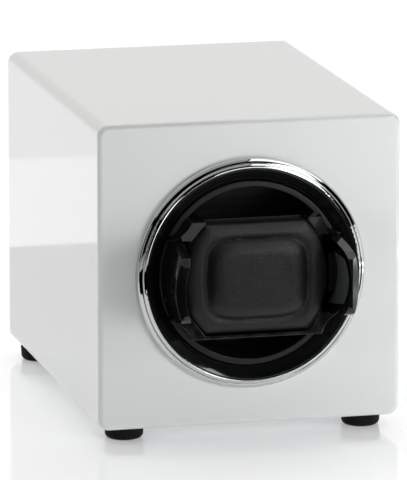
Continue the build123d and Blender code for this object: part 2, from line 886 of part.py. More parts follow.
# ---- knobs on the back ----
knob_radius = 8.0
knob_length = 7.5
knob_flute_circle = 8.5
knob_flutes = 18
knob_bore_depth = 4.5
knob_shaft_front = board_back + 2.5
for knob_name, shaft_name, knob_x in (
    ("program_knob", "program_shaft", program_x),
    ("direction_knob", "direction_shaft", direction_x),
):
    with BuildPart() as knob_shaft:
        with BuildSketch(face(knob_shaft_front, knob_x, controls_drop)):
            Circle(knob_shaft_radius)
        extrude(amount=-(knob_seat + knob_bore_depth - knob_shaft_front))
    write(knob_shaft, shaft_name)
    with BuildPart() as knob:
        with BuildSketch(face(knob_seat, knob_x, controls_drop)):
            Circle(knob_radius)
        extrude(amount=-knob_length, taper=4)
        fillet(knob.edges().sort_by(Axis.Y)[-1], radius=0.8)
        with BuildSketch(face(knob_seat, knob_x, controls_drop)):
            with PolarLocations(knob_flute_circle, knob_flutes, start_angle=10):
                Circle(0.9)
        extrude(amount=-9.0, mode=Mode.SUBTRACT)
        with BuildSketch(face(knob_seat + knob_length, knob_x, controls_drop)):
            with Locations((0, 3.8)):
                Rectangle(1.0, 4.4)
        extrude(amount=0.6, mode=Mode.SUBTRACT)
        with BuildSketch(face(knob_seat, knob_x, controls_drop)):
            Circle(knob_shaft_radius)
        extrude(amount=-knob_bore_depth, mode=Mode.SUBTRACT)
    write(knob, knob_name)

# ---- watch holder frame ----
wing_root_x = 27.0
wing_hollow = (29.6, 19.6)  # a point of the hollow edge between the wing's root and its corner
flange_front = -12.0
flange_face = -9.0
flange_back = -2.0
body_half_width = 24.0
body_half_height = 23.0
body_back = 19.0
body_wall = 2.0
body_floor = -4.5
boss_height = 17.5
holder_boss_radius = 3.0
holder_screw_radius = 1.1
holder_back_depth = body_back - body_wall
seat_fit = 0.3
seat_depth = 5.0
side_opening_x = 31.4
side_opening_width = 7.6
ear_x = 27.5
ear_height = 10.2
ear_length = 8.0
ear_thickness = 3.8
pin_bore_half_length = 14.0


def cushion_outline(grow):
    """Barrel outline of the cushion's front as a sketch: flat top and bottom, bowed sides."""
    half_w = cushion_half_width + grow
    edge_w = cushion_edge_half_width + grow
    half_h = cushion_half_height + grow
    with BuildSketch() as outline:
        with BuildLine():
            Line((-edge_w, half_h), (edge_w, half_h))
            ThreePointArc((edge_w, half_h), (half_w, 0), (edge_w, -half_h))
            Line((edge_w, -half_h), (-edge_w, -half_h))
            ThreePointArc((-edge_w, -half_h), (-half_w, 0), (-edge_w, half_h))
        make_face()
    return outline.sketch


def pin_plane(side, height):
    """Level plane centred on a grip's pin, at a height above the rotor axis."""
    return Plane(origin=(side * grip_pin_x, front_y + grip_pin_depth, axis_z + height))


cushion_shape = cushion_outline(0.0)
cushion_seat_shape = cushion_outline(seat_fit)


with BuildPart() as holder_frame:
    with BuildSketch(face(flange_back)):
        with BuildLine():
            Line((0, holder_half_height), (wing_root_x, holder_half_height))
            ThreePointArc((wing_root_x, holder_half_height), wing_hollow, (holder_half_width, wing_height))
            Line((holder_half_width, wing_height), (holder_half_width, 0))
            mirror(about=Plane.YZ)
            mirror(about=Plane.XZ)
        make_face()
    extrude(amount=flange_back - flange_front)
    # corners rise towards the front, the middle band stays flat
    with BuildSketch(Plane(origin=(0, front_y, axis_z), x_dir=(0, 1, 0), z_dir=(1, 0, 0))):
        Polygon(
            (flange_front - 1, holder_half_height + 1),
            (flange_front, holder_half_height),
            (flange_face, wing_height - 0.4),
            (flange_face, -wing_height + 0.4),
            (flange_front, -holder_half_height),
            (flange_front - 1, -holder_half_height - 1),
            align=None,
        )
    extrude(amount=holder_half_width + 1, both=True, mode=Mode.SUBTRACT)
    # openings at both sides for the grips
    with BuildSketch(face(flange_back)):
        with Locations((side_opening_x, 0), (-side_opening_x, 0)):
            Rectangle(side_opening_width, 2 * wing_height - 0.8)
    extrude(amount=12.0, mode=Mode.SUBTRACT)
    # seat of the cushion, and the gap its top edge wraps through
    with BuildSketch(face(flange_face)):
        add(cushion_seat_shape)
    extrude(amount=seat_depth, mode=Mode.SUBTRACT)
    with BuildSketch(face(flange_back)):
        with Locations((0, 22.7)):
            Rectangle(2 * cushion_edge_half_width + 0.4, 4.0)
    extrude(amount=12.0, mode=Mode.SUBTRACT)
    with BuildSketch(face(flange_back)):
        with Locations((0, -21.7)):
            Rectangle(2 * cushion_edge_half_width + 0.4, 2.0)
    extrude(amount=12.0, mode=Mode.SUBTRACT)
    # body behind the flange
    with BuildSketch(face(body_back)):
        RectangleRounded(2 * body_half_width, 2 * body_half_height, 5.0)
    extrude(amount=body_back - flange_back)
    fillet(holder_frame.faces().sort_by(Axis.Y)[-1].edges(), radius=0.8)
    with BuildSketch(face(body_back)):
        RectangleRounded(2 * (body_half_width - body_wall), 2 * (body_half_height - body_wall), 3.0)
    extrude(amount=body_back - body_floor, mode=Mode.SUBTRACT)
    with BuildSketch(face(holder_back_depth)):
        with Locations((0, boss_height), (0, -boss_height)):
            Circle(holder_boss_radius)
    extrude(amount=holder_back_depth - body_floor)
    with BuildSketch(face(holder_back_depth)):
        with Locations((0, boss_height), (0, -boss_height)):
            Circle(holder_screw_radius)
    extrude(amount=8.0, mode=Mode.SUBTRACT)
    # ears that carry the grip pins
    with BuildSketch(face(body_back)):
        with GridLocations(2 * ear_x, 2 * ear_height, 2, 2):
            Rectangle(ear_length, ear_thickness)
    extrude(amount=ear_length)
    for side in (-1, 1):
        with BuildSketch(pin_plane(side, -pin_bore_half_length)):
            Circle(grip_pin_radius)
        extrude(amount=2 * pin_bore_half_length, mode=Mode.SUBTRACT)
write(holder_frame, "holder_frame")

with BuildPart() as holder_back:
    with BuildSketch(face(holder_back_depth)):
        RectangleRounded(
            2 * (body_half_width - body_wall) - 0.2,
            2 * (body_half_height - body_wall) - 0.2,
            2.9,
        )
        with Locations((0, boss_height), (0, -boss_height)):
            Circle(1.3, mode=Mode.SUBTRACT)
    extrude(amount=-body_wall)
write(holder_back, "holder_back")

holder_screws = group([
    screw(body_back, body_back - 7.0, 2.4, holder_screw_radius, 1.5, 0, z, False)
    for z in (boss_height, -boss_height)
])
write(holder_screws, "holder_screws")

# ---- cushion: soft front with a raised pad, wrapping over the top and bottom of the frame ----
pad_front = -14.6
cushion_wrap = 1.6
wrap_back = -2.05
cushion_front = -12.6
cushion_back = flange_face - 0.05
cushion_rounding = 2.0
pad_half_width = 20.3
pad_half_height = 17.0
pad_corner = 7.5
pad_rounding = 1.8
pad_root = cushion_front + 0.5
with BuildPart() as watch_cushion:
    with BuildSketch(face(cushion_back)):
        add(cushion_shape)
    extrude(amount=cushion_back - cushion_front)
    fillet(watch_cushion.faces().sort_by(Axis.Y)[0].edges(), radius=cushion_rounding)
    with BuildSketch(face(pad_root)):
        RectangleRounded(2 * pad_half_width, 2 * pad_half_height, pad_corner)
    extrude(amount=pad_root - pad_front)
    fillet(watch_cushion.faces().sort_by(Axis.Y)[0].edges(), radius=pad_rounding)
    for side in (-1, 1):
        with BuildSketch(face(cushion_back)):
            with Locations((0, side * (cushion_half_height - cushion_wrap / 2))):
                Rectangle(2 * cushion_edge_half_width - 0.2, cushion_wrap)
        extrude(amount=cushion_back - wrap_back)
write(watch_cushion, "watch_cushion")

# ---- grip pins and torsion springs ----
pin_half_length = ear_height + ear_thickness / 2
with BuildPart() as grip_pins:
    for side in (-1, 1):
        with BuildSketch(pin_plane(side, -pin_half_length)):
            Circle(grip_pin_radius)
        extrude(amount=2 * pin_half_length)
write(grip_pins, "grip_pins")

spring_height = 5.2
spring_coil_radius = 2.0
spring_wire_radius = 0.28
spring_parts = []
for side in (-1, 1):
    with BuildPart() as spring:
        with BuildLine(pin_plane(side, spring_height)) as spring_path:
            Helix(pitch=0.7, height=2.4, radius=spring_coil_radius)
        with BuildSketch(Plane(origin=spring_path.line @ 0, z_dir=spring_path.line % 0)):
            Circle(spring_wire_radius)
        sweep(path=spring_path.line)
    spring_parts.append(spring)
grip_springs = group(spring_parts)
write(grip_springs, "grip_springs")

# ---- finger grips ----
shell_outer = 37.6
shell_inner = 34.0
arm_inner = 30.6
arm_outer = 33.4
arm_half_height = 7.9
knuckle_radius = 3.0
knuckle_top = 4.6
plate_back = -4.0
plate_middle_x = 40.0
root_outer = 37.0
heel_half_height = 3.5
heel_outer = 34.7
spring_recess_radius = 3.6
for grip_name, side in (("grip_left", -1), ("grip_right", 1)):
    with BuildPart() as grip:
        # curved finger plate, bent round the rotor axis
        with BuildSketch(face(plate_back)):
            Circle(shell_outer)
            Circle(shell_inner, mode=Mode.SUBTRACT)
            with Locations((side * plate_middle_x, 0)):
                Rectangle(24.0, 2 * wing_height - 1.2, mode=Mode.INTERSECT)
        extrude(amount=grip_reach + plate_back)
        # root that joins the plate to the arm
        with BuildSketch(face(plate_back)):
            with Locations((side * (arm_inner + root_outer) / 2, 0)):
                Rectangle(root_outer - arm_inner, 2 * arm_half_height)
        extrude(amount=-plate_back)
        # side profile: sloping top and bottom, rounded lower front corner
        with BuildSketch(Plane(origin=(side * 36.0, front_y, axis_z), x_dir=(0, 1, 0), z_dir=(1, 0, 0))):
            with BuildLine():
                Polyline(
                    (-26.0, -13.2),
                    (-13.4, -15.8),
                    (-3.0, -15.8),
                    (-3.0, 15.8),
                    (-13.4, 15.8),
                    (-27.6, 12.9),
                    (-grip_reach, 10.2),
                    (-grip_reach, -9.4),
                )
                ThreePointArc((-grip_reach, -9.4), (-29.6, -12.3), (-26.0, -13.2))
            make_face()
        extrude(amount=8.0, both=True, mode=Mode.INTERSECT)
        # front face slopes back towards the outside
        with BuildSketch(Plane(origin=(0, front_y, axis_z - 20.0))):
            Polygon(
                (side * 34.4, -grip_reach - 0.001),
                (side * 38.4, -27.9),
                (side * 38.4, -grip_reach - 1.0),
                (side * 34.4, -grip_reach - 1.0),
                align=None,
            )
        extrude(amount=40.0, mode=Mode.SUBTRACT)
        # arm inside the cup, its heel and its knuckle round the pin
        with BuildSketch(Plane(origin=(0, front_y, axis_z - arm_half_height))):
            Polygon(
                (side * arm_inner, -4.5),
                (side * arm_outer, -4.5),
                (side * arm_outer, 9.0),
                (side * (grip_pin_x + knuckle_radius), grip_pin_depth),
                (side * (grip_pin_x + 1.0), grip_pin_depth),
                (side * arm_inner, 9.0),
                align=None,
            )
        extrude(amount=2 * arm_half_height)
        with BuildSketch(Plane(origin=(0, front_y, axis_z - heel_half_height))):
            Polygon(
                (side * (arm_outer - 0.5), 1.0),
                (side * heel_outer, 3.0),
                (side * heel_outer, 6.0),
                (side * (arm_outer - 0.5), 8.0),
                align=None,
            )
        extrude(amount=2 * heel_half_height)
        with BuildSketch(pin_plane(side, -arm_half_height)):
            Circle(knuckle_radius)
        extrude(amount=2 * arm_half_height)
        with BuildSketch(pin_plane(side, knuckle_top)):
            Circle(spring_recess_radius)
        extrude(amount=10.0, mode=Mode.SUBTRACT)
        with BuildSketch(pin_plane(side, -arm_half_height)):
            Circle(grip_pin_radius + running_clearance)
        extrude(amount=2 * arm_half_height, mode=Mode.SUBTRACT)
    write(grip, grip_name)
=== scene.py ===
import bpy
import json
import math
from mathutils import Matrix, Vector, noise


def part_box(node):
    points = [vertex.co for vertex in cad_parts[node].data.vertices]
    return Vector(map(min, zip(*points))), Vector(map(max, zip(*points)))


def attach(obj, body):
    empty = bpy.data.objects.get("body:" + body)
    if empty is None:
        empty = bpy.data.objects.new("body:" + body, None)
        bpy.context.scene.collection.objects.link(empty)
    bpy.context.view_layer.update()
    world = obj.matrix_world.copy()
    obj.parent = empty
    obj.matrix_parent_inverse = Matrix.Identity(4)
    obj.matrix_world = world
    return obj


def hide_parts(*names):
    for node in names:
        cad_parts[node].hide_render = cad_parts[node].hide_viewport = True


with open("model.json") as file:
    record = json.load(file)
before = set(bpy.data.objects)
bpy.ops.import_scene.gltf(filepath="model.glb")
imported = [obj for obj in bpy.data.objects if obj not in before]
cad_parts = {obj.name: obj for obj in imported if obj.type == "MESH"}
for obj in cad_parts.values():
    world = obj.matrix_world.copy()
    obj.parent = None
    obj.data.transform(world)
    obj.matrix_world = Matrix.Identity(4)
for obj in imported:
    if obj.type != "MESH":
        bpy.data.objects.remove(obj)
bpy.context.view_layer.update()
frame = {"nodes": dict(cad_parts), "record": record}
nodes = frame["nodes"]
scene = bpy.context.scene

# ---------------------------------------------------------------- places read from the frame
body_low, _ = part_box("housing_shell")
front_y = body_low.y
trim_low, trim_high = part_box("chrome_trim_ring")
axis_z = (trim_low.z + trim_high.z) / 2


# ---------------------------------------------------------------- materials
def new_material(name):
    """A material with its node tree, principled shader and object-space coordinates in metres."""
    mat = bpy.data.materials.new(name)
    mat.use_nodes = True
    tree = mat.node_tree
    shader = tree.nodes["Principled BSDF"]
    coords = tree.nodes.new("ShaderNodeTexCoord")
    return mat, tree, shader, coords.outputs["Object"]


def noise_node(tree, coords, scale, detail=4.0, rough=0.5, stretch=None):
    """Noise between 0 and 1, stretched along an axis if asked."""
    node = tree.nodes.new("ShaderNodeTexNoise")
    node.inputs["Scale"].default_value = scale
    node.inputs["Detail"].default_value = detail
    node.inputs["Roughness"].default_value = rough
    if stretch:
        mapping = tree.nodes.new("ShaderNodeMapping")
        mapping.inputs["Scale"].default_value = stretch
        tree.links.new(coords, mapping.inputs["Vector"])
        coords = mapping.outputs["Vector"]
    tree.links.new(coords, node.inputs["Vector"])
    return node.outputs["Fac"]


def remap(tree, value, low, high, to_low, to_high):
    """Maps a value from one range to another, clamped."""
    node = tree.nodes.new("ShaderNodeMapRange")
    node.inputs["From Min"].default_value = low
    node.inputs["From Max"].default_value = high
    node.inputs["To Min"].default_value = to_low
    node.inputs["To Max"].default_value = to_high
    tree.links.new(value, node.inputs["Value"])
    return node.outputs["Result"]


def mix_colour(tree, factor, first, second):
    """A blend of two colours."""
    node = tree.nodes.new("ShaderNodeMix")
    node.data_type = "RGBA"
    node.inputs["A"].default_value = (*first, 1.0)
    node.inputs["B"].default_value = (*second, 1.0)
    tree.links.new(factor, node.inputs["Factor"])
    return node.outputs["Result"]


def paint(tree, shader, factor, dark, light):
    """Gives the surface a colour between two tones."""
    tree.links.new(mix_colour(tree, factor, dark, light), shader.inputs["Base Color"])


def polish(tree, shader, value, smooth, rough, low=0.3, high=0.7):
    """Gives the surface a roughness between two values."""
    tree.links.new(remap(tree, value, low, high, smooth, rough), shader.inputs["Roughness"])


def bump(tree, shader, height, distance, strength, below=None):
    """Raises a fine relief, on top of another normal if one is given."""
    node = tree.nodes.new("ShaderNodeBump")
    node.inputs["Distance"].default_value = distance
    node.inputs["Strength"].default_value = strength
    tree.links.new(height, node.inputs["Height"])
    if below is not None:
        tree.links.new(below, node.inputs["Normal"])
    tree.links.new(node.outputs["Normal"], shader.inputs["Normal"])
    return node.outputs["Normal"]


def soft_edges(tree, radius):
    """Normals rounded over the sharp edges of a moulding."""
    node = tree.nodes.new("ShaderNodeBevel")
    node.samples = 6
    node.inputs["Radius"].default_value = radius
    return node.outputs["Normal"]


def lacquer():
    """High-gloss white lacquer: faint orange peel and slight tone drift."""
    mat, tree, shader, coords = new_material("white_lacquer")
    tone = noise_node(tree, coords, 9.0, 2.0)
    paint(tree, shader, tone, (0.71, 0.735, 0.72), (0.75, 0.77, 0.76))
    smear = noise_node(tree, coords, 35.0, 5.0)
    polish(tree, shader, smear, 0.045, 0.10, low=0.35, high=0.75)
    shader.inputs["IOR"].default_value = 1.5
    peel = noise_node(tree, coords, 420.0, 2.0)
    bump(tree, shader, peel, 0.000012, 0.5)
    return mat


def chrome():
    """Bright plating with hairline polishing marks."""
    mat, tree, shader, coords = new_material("bright_chrome")
    shader.inputs["Metallic"].default_value = 1.0
    marks = noise_node(tree, coords, 160.0, 6.0, 0.6)
    paint(tree, shader, marks, (0.60, 0.61, 0.62), (0.68, 0.685, 0.69))
    polish(tree, shader, marks, 0.03, 0.09)
    bump(tree, shader, noise_node(tree, coords, 900.0, 2.0), 0.000004, 0.5)
    return mat


def gloss_black(name="gloss_black"):
    """Polished moulded black: dust-fine roughness and a trace of flow waviness."""
    mat, tree, shader, coords = new_material(name)
    haze = noise_node(tree, coords, 240.0, 5.0)
    paint(tree, shader, haze, (0.0030, 0.0034, 0.0038), (0.0052, 0.0056, 0.0062))
    polish(tree, shader, haze, 0.05, 0.13, low=0.35)
    bump(tree, shader, noise_node(tree, coords, 130.0, 2.0), 0.00002, 0.4, below=soft_edges(tree, 0.00035))
    return mat


def math_node(tree, operation, first, second):
    """One arithmetic step; each value is a socket or a number."""
    node = tree.nodes.new("ShaderNodeMath")
    node.operation = operation
    for socket, value in zip(node.inputs, (first, second)):
        if isinstance(value, (int, float)):
            socket.default_value = value
        else:
            tree.links.new(value, socket)
    return node.outputs[0]


def between(tree, value, low, high, blur):
    """1 where the value lies between two limits, fading over that distance either side of each."""
    rise = remap(tree, math_node(tree, "SUBTRACT", value, low), -blur, blur, 0.0, 1.0)
    fall = remap(tree, math_node(tree, "SUBTRACT", high, value), -blur, blur, 0.0, 1.0)
    return math_node(tree, "MULTIPLY", rise, fall)


def axes(tree, kind):
    """The three parts of a texture coordinate."""
    coords = tree.nodes.new("ShaderNodeTexCoord")
    parts = tree.nodes.new("ShaderNodeSeparateXYZ")
    tree.links.new(coords.outputs[kind], parts.inputs[0])
    return parts.outputs


# The patch on a grip's inner face: where it starts and ends along the depth, and above or below
# the rotor axis. Its two ends bow back away from the axis and its lower side slants. Lengths in metres.
# The patch is a guess at a soft grey panel there: it is rougher, and its grey is painted light, a sheen
# painted into the base colour. The patch is a guess: the photo shows a soft grey panel there, which may
# be nothing but a reflection.
# Its outline and grey were fitted to the right grip, and the unseen left one is given the same.
patch_front = front_y - 0.0262
patch_back = front_y - 0.0085
patch_top = 0.0088
patch_bottom = -0.0092
patch_bow = 26.0
patch_slant = -0.18
patch_blur = 0.0002
# Painted light: the grey added over the patch in place of light falling on the panel.
painted_light_grey = (0.050, 0.053, 0.057)
patch_roughness = 0.45
inward_limit = -0.8


def grip_black():
    """Gloss black with a rougher patch on the grip's inner face, whose grey is painted light."""
    mat = gloss_black("grip_black")
    tree = mat.node_tree
    shader = tree.nodes["Principled BSDF"]
    across, along, up = axes(tree, "Object")
    height = math_node(tree, "SUBTRACT", up, axis_z)
    bow = math_node(tree, "MULTIPLY", math_node(tree, "MULTIPLY", height, height), patch_bow)
    front = math_node(tree, "ADD", bow, patch_front)
    back = math_node(tree, "ADD", bow, patch_back)
    slant = math_node(tree, "MULTIPLY", math_node(tree, "SUBTRACT", along, patch_front), patch_slant)
    bottom = math_node(tree, "ADD", slant, patch_bottom)
    in_depth = between(tree, along, front, back, patch_blur)
    in_height = between(tree, height, bottom, patch_top, patch_blur)
    facing = math_node(tree, "MULTIPLY", math_node(tree, "SIGN", across, 0.0), axes(tree, "Normal")[0])
    inner_face = math_node(tree, "LESS_THAN", facing, inward_limit)
    patch = math_node(tree, "MULTIPLY", math_node(tree, "MULTIPLY", in_depth, in_height), inner_face)
    # Painted light: over the patch a grey is added to the base colour, standing in for light on the raised
    # panel.
    colour = tree.nodes.new("ShaderNodeVectorMath")
    colour.operation = "ADD"
    tree.links.new(shader.inputs["Base Color"].links[0].from_socket, colour.inputs[0])
    tree.links.new(mix_colour(tree, patch, (0.0, 0.0, 0.0), painted_light_grey), colour.inputs[1])
    tree.links.new(colour.outputs[0], shader.inputs["Base Color"])
    gloss = shader.inputs["Roughness"].links[0].from_socket
    rough = math_node(tree, "ADD", gloss, math_node(tree, "MULTIPLY", patch, patch_roughness))
    tree.links.new(rough, shader.inputs["Roughness"])
    return mat


def satin_black():
    """Fine spark-eroded texture of moulded satin black."""
    mat, tree, shader, coords = new_material("satin_black")
    haze = noise_node(tree, coords, 120.0, 4.0)
    paint(tree, shader, haze, (0.0045, 0.0050, 0.0054), (0.0080, 0.0086, 0.0092))
    polish(tree, shader, haze, 0.32, 0.46)
    shader.inputs["Specular IOR Level"].default_value = 0.30
    bump(tree, shader, noise_node(tree, coords, 2600.0, 3.0), 0.00003, 0.5, below=soft_edges(tree, 0.0003))
    return mat


def rubber():
    """Matt black rubber of the feet."""
    mat, tree, shader, coords = new_material("black_rubber")
    haze = noise_node(tree, coords, 300.0, 5.0)
    paint(tree, shader, haze, (0.0035, 0.0035, 0.0037), (0.0075, 0.0075, 0.0078))
    polish(tree, shader, haze, 0.55, 0.72)
    shader.inputs["Specular IOR Level"].default_value = 0.12
    bump(tree, shader, noise_node(tree, coords, 1500.0, 4.0), 0.00004, 0.5)
    return mat


def leatherette():
    """Embossed leather grain: small cells with soft valleys, finer wrinkles inside."""
    mat, tree, shader, coords = new_material("black_leatherette")
    warp = tree.nodes.new("ShaderNodeTexNoise")
    warp.inputs["Scale"].default_value = 260.0
    tree.links.new(coords, warp.inputs["Vector"])
    shift = tree.nodes.new("ShaderNodeVectorMath")
    shift.operation = "MULTIPLY_ADD"
    shift.inputs[1].default_value = (0.0016, 0.0016, 0.0016)
    tree.links.new(warp.outputs["Color"], shift.inputs[0])
    tree.links.new(coords, shift.inputs[2])
    cells = tree.nodes.new("ShaderNodeTexVoronoi")
    cells.feature = "DISTANCE_TO_EDGE"
    cells.inputs["Scale"].default_value = 1150.0
    tree.links.new(shift.outputs["Vector"], cells.inputs["Vector"])
    grain = remap(tree, cells.outputs["Distance"], 0.0, 0.22, 0.0, 1.0)
    fine = noise_node(tree, coords, 3800.0, 3.0)
    tone = noise_node(tree, coords, 60.0, 3.0)
    paint(tree, shader, tone, (0.0040, 0.0043, 0.0047), (0.0075, 0.0079, 0.0085))
    polish(tree, shader, grain, 0.52, 0.36, low=0.0, high=1.0)
    shader.inputs["Specular IOR Level"].default_value = 0.40
    under = bump(tree, shader, fine, 0.00003, 0.4)
    bump(tree, shader, grain, 0.00008, 0.7, below=under)
    return mat


def metal(name, dark, light, smooth, rough, brushed=None):
    """Bare metal with fine tool marks."""
    mat, tree, shader, coords = new_material(name)
    shader.inputs["Metallic"].default_value = 1.0
    marks = noise_node(tree, coords, 300.0, 6.0, 0.6, brushed)
    paint(tree, shader, marks, dark, light)
    polish(tree, shader, marks, smooth, rough)
    bump(tree, shader, marks, 0.00001, 0.4)
    return mat


def moulded(name, dark, light, smooth, rough, scale=200.0, grain=1500.0, depth=0.00002):
    """A dull inner material with a fine grain."""
    mat, tree, shader, coords = new_material(name)
    tone = noise_node(tree, coords, scale, 5.0)
    paint(tree, shader, tone, dark, light)
    polish(tree, shader, tone, smooth, rough)
    bump(tree, shader, noise_node(tree, coords, grain, 3.0), depth, 0.5)
    return mat


materials = {
    "white_lacquer": lacquer(),
    "bright_chrome": chrome(),
    "gloss_black": gloss_black(),
    "satin_black": satin_black(),
    "black_rubber": rubber(),
    "black_leatherette": leatherette(),
    "brass_parts": metal("brass_parts", (0.66, 0.47, 0.20), (0.83, 0.64, 0.32), 0.18, 0.32),
    "zinc_plate": metal("zinc_plate", (0.50, 0.51, 0.52), (0.66, 0.67, 0.68), 0.28, 0.42, (1.0, 1.0, 12.0)),
    "steel_parts": metal("steel_parts", (0.52, 0.53, 0.54), (0.68, 0.69, 0.70), 0.16, 0.30),
    "gear_nylon": moulded("gear_nylon", (0.74, 0.72, 0.66), (0.84, 0.82, 0.76), 0.34, 0.48),
    "raw_board": moulded(
        "raw_board",
        (0.30, 0.19, 0.11),
        (0.52, 0.36, 0.22),
        0.75,
        0.9,
        scale=900.0,
        grain=2200.0,
        depth=0.0001,
    ),
    "circuit_board": moulded("circuit_board", (0.006, 0.07, 0.03), (0.012, 0.12, 0.05), 0.22, 0.34),
    "component_black": moulded("component_black", (0.012, 0.012, 0.012), (0.03, 0.03, 0.03), 0.4, 0.55),
    "wire_sleeve": moulded("wire_sleeve", (0.42, 0.02, 0.015), (0.6, 0.04, 0.03), 0.3, 0.45),
}
for part in frame["record"]["subparts"]:
    mesh = nodes[part["node"]].data
    mesh.materials.clear()
    mesh.materials.append(materials[part["material_slot"]])
grip_finish = grip_black()
for side in ("left", "right"):
    nodes["grip_" + side].data.materials[0] = grip_finish

# ---------------------------------------------------------------- watch cushion
# One closed leatherette form: a rolled edge, a soft margin, a sunk channel round a crowned pad, and at the
# top and bottom a tongue that runs back over the holder. Lengths in millimetres, depth behind the front.
half_width = 29.6
half_height = 22.4
corner_half_width = 21.0
side_sagitta = half_width - corner_half_width
side_radius = (half_height**2 + side_sagitta**2) / (2 * side_sagitta)
pad_half_width = 20.6
pad_half_height = 16.4
pad_squareness = 4.6
seat_depth = -9.05
tongue_depth = -2.05
tongue_thickness = 1.6
tongue_half_width = 20.8
margin_depth = -12.8
channel_drop = 1.0
channel_width = 1.3
pad_rise = 3.2
pad_roll = 7.0
pad_crown = 0.7
edge_roll = 7.5
roll_power = 2.3
swell = 0.14
swell_scale = 0.13
swell_row = 4.0
swell_fade = 4.0
steps_per_part = 30
halvings = 30
ring_count = 44
on_outline = 0.01


def in_cushion(x, z):
    """Inside the barrel outline: flat top and bottom, bowed sides."""
    return abs(z) <= half_height and math.hypot(abs(x) - half_width + side_radius, z) <= side_radius


def edge_distance(x, z):
    """Distance from the barrel outline, smoothed so that the margin has no crease at its corners."""
    from_level = max(half_height - abs(z), 1e-6)
    from_side = max(side_radius - math.hypot(abs(x) - half_width + side_radius, z), 1e-6)
    return (from_level**-3 + from_side**-3) ** (-1 / 3)


def pad_distance(x, z):
    """Roughly the distance from the pad's rounded outline, negative inside it."""
    level = (abs(x) / pad_half_width) ** pad_squareness + (abs(z) / pad_half_height) ** pad_squareness
    return (level ** (1 / pad_squareness) - 1.0) * (pad_half_width + pad_half_height) / 2


def reach(inside, angle):
    """How far the outline lies from the middle in that direction."""
    near, far = 0.0, 2 * half_width
    for _ in range(halvings):
        middle_reach = (near + far) / 2
        if inside(middle_reach * math.cos(angle), middle_reach * math.sin(angle)):
            near = middle_reach
        else:
            far = middle_reach
    return near


def cushion_depth(x, z):
    """Depth of the cushion's front surface."""
    from_edge = edge_distance(x, z)
    roll = 1.0 - min(from_edge / edge_roll, 1.0)
    depth = margin_depth + (seat_depth - margin_depth) * (1.0 - math.sqrt(max(1.0 - roll**2, 0.0)))
    away = pad_distance(x, z)
    depth += channel_drop * math.exp(-((away / channel_width) ** 2))
    if away < 0.0:
        rise = min(-away / pad_roll, 1.0)
        depth -= pad_rise * (1.0 - (1.0 - rise) ** roll_power)
        depth -= pad_crown * (1.0 - (x / pad_half_width) ** 2) * (1.0 - (z / pad_half_height) ** 2)
    unevenness = noise.noise(Vector((x * swell_scale, z * swell_scale, swell_row)))
    return depth + swell * unevenness * min(from_edge / swell_fade, 1.0)


def cushion_point(x, depth, z):
    """A point given in millimetres from the middle and behind the front face, in metres."""
    return Vector((x / 1000, front_y + depth / 1000, axis_z + z / 1000))


def on_tongue(x, z):
    """Whether a point of the outline belongs to the top or bottom tongue."""
    return abs(x) <= tongue_half_width + on_outline and abs(z) > half_height - on_outline


corner_angle = math.atan2(half_height, corner_half_width)
tongue_angle = math.atan2(half_height, tongue_half_width)
quarter = [corner_angle * i / steps_per_part for i in range(steps_per_part + 1)]
quarter += [tongue_angle + (math.pi / 2 - tongue_angle) * i / steps_per_part for i in range(steps_per_part)]
turned = [b for a in quarter for b in (a, math.pi - a, math.pi + a, 2 * math.pi - a)]
angles = sorted({round(a % (2 * math.pi), 6) for a in turned} | {math.pi / 2, 3 * math.pi / 2})
edges = [reach(in_cushion, a) for a in angles]
spokes = [(math.cos(a), math.sin(a)) for a in angles]
outline = [(edge * across, edge * up) for edge, (across, up) in zip(edges, spokes)]
wraps = [tongue_depth if on_tongue(x, z) else seat_depth for x, z in outline]


def back_ring(inset, depths):
    """Points round the outline, drawn in by the inset, at the given depths."""
    return [
        cushion_point((edge - inset) * across, depth, (edge - inset) * up)
        for edge, depth, (across, up) in zip(edges, depths, spokes)
    ]


def front_ring(lengths):
    """Points of the front surface, at the given distances from the middle."""
    flat_points = [(length * across, length * up) for length, (across, up) in zip(lengths, spokes)]
    return [cushion_point(x, cushion_depth(x, z), z) for x, z in flat_points]


insets = [0.0, 0.12, 0.35, 0.7, 1.1, 1.6, 2.2, 2.8, 3.4]
rings = [back_ring(tongue_thickness, [seat_depth] * len(angles))]
rings += [back_ring(tongue_thickness, wraps), back_ring(0.0, wraps)]
rings += [front_ring([edge - inset for edge in edges]) for inset in insets]
for i in range(1, ring_count):
    rings.append(front_ring([(edge - insets[-1]) * (1.0 - i / ring_count) for edge in edges]))
around = len(angles)
corners = [p for ring in rings for p in ring]
quads = [
    (r * around + i, r * around + (i + 1) % around, (r + 1) * around + (i + 1) % around, (r + 1) * around + i)
    for r in range(len(rings) - 1)
    for i in range(around)
]
front_middle = len(corners)
corners.append(cushion_point(0.0, cushion_depth(0.0, 0.0), 0.0))
corners.append(cushion_point(0.0, seat_depth, 0.0))
last_ring = (len(rings) - 1) * around
caps = [(last_ring + i, last_ring + (i + 1) % around, front_middle) for i in range(around)]
caps += [((i + 1) % around, i, front_middle + 1) for i in range(around)]
cushion_mesh = bpy.data.meshes.new("cushion")
cushion_mesh.from_pydata(corners, [], quads + caps)
cushion_mesh.validate()
cushion_mesh.shade_smooth()
cushion_mesh.set_sharp_from_angle(angle=math.radians(55))
cushion_mesh.materials.append(materials["black_leatherette"])
cushion = bpy.data.objects.new("cushion", cushion_mesh)
scene.collection.objects.link(cushion)
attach(cushion, "holder")
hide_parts("watch_cushion")


# ---------------------------------------------------------------- floor and surroundings
def flat(x_low, y_low, x_high, y_high, height):
    """Corners of a level rectangle."""
    plan = [(x_low, y_low), (x_high, y_low), (x_high, y_high), (x_low, y_high)]
    return [(*corner, height) for corner in plan]


def upright(first, second, height):
    """Corners of a rectangle that stands on the floor between two points."""
    return [(*first, 0), (*second, 0), (*second, height), (*first, height)]


